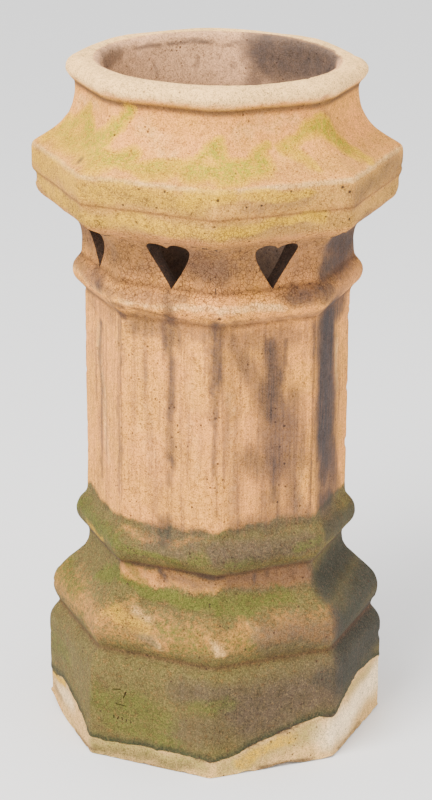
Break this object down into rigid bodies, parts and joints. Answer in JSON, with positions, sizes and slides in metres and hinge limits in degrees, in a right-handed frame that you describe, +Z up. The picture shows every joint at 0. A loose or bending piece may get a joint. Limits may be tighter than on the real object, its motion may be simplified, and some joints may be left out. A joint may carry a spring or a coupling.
{
  "type": "chimney pot",
  "caption": "Octagonal fireclay chimney pot with a flared crown, heart-shaped smoke vents, a plain shaft and a moulded foot.",
  "frame": {"origin": "middle of the underside, where the pot stands", "axes": "+Z up along the flue; the faces without a vent look along +X and -X, and -Y is the face left of the front arris in the picture"},
  "size_m": [0.3726, 0.3726, 0.762],
  "materials": {
    "fireclay": "unglazed, matt, weathered"
  },
  "bodies": {
    "root": {"chimney_pot": "fireclay"}
  },
  "joints": []
}
